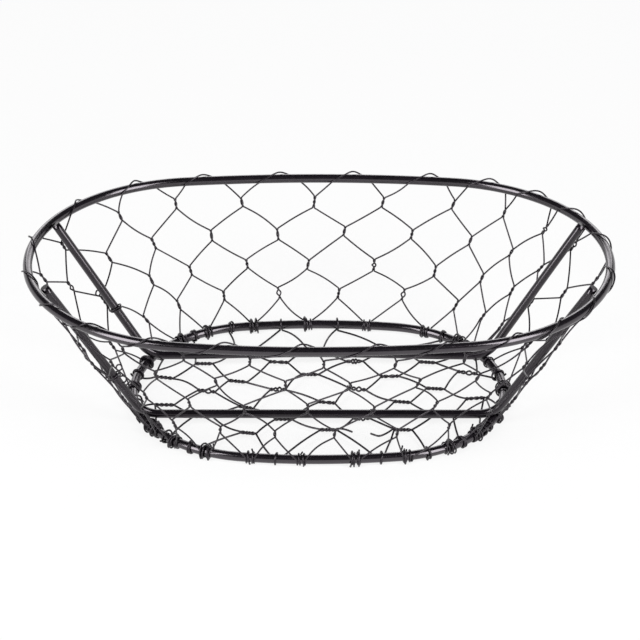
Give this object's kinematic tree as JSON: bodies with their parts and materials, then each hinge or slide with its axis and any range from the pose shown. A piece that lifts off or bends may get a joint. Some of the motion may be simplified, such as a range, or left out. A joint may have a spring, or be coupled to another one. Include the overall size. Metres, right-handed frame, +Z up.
{
  "type": "wire egg basket",
  "caption": "Shallow oval basket of hexagonal wire netting, twisted round a thick wire rim and base ring and held up by bent frame wires, for holding eggs.",
  "frame": {"origin": "bottom centre, on the surface that the basket stands on", "axes": "+X along the basket's length, +Y across it towards the back, +Z up"},
  "size_m": [0.2548, 0.1595, 0.0719],
  "materials": {
    "frame_wire": "glossy black enamel on thick round steel wire",
    "netting_wire": "satin black coating on thin twisted steel wire"
  },
  "bodies": {
    "root": {"rim_ring": "frame_wire", "base_ring": "frame_wire", "front_frame": "frame_wire", "rear_frame": "frame_wire", "wall_wire_1": "netting_wire", "wall_wire_2": "netting_wire", "wall_wire_3": "netting_wire", "wall_wire_4": "netting_wire", "wall_wire_5": "netting_wire", "wall_wire_6": "netting_wire", "wall_wire_7": "netting_wire", "wall_wire_8": "netting_wire", "wall_wire_9": "netting_wire", "wall_wire_10": "netting_wire", "wall_wire_11": "netting_wire", "wall_wire_12": "netting_wire", "wall_wire_13": "netting_wire", "wall_wire_14": "netting_wire", "wall_wire_15": "netting_wire", "wall_wire_16": "netting_wire", "wall_wire_17": "netting_wire", "wall_wire_18": "netting_wire", "wall_wire_19": "netting_wire", "wall_wire_20": "netting_wire", "wall_wire_21": "netting_wire", "wall_wire_22": "netting_wire", "wall_wire_23": "netting_wire", "floor_wire_1": "netting_wire", "floor_wire_2": "netting_wire", "floor_wire_3": "netting_wire", "floor_wire_4": "netting_wire", "floor_wire_5": "netting_wire", "floor_wire_6": "netting_wire", "floor_wire_7": "netting_wire", "floor_wire_8": "netting_wire"}
  },
  "joints": []
}
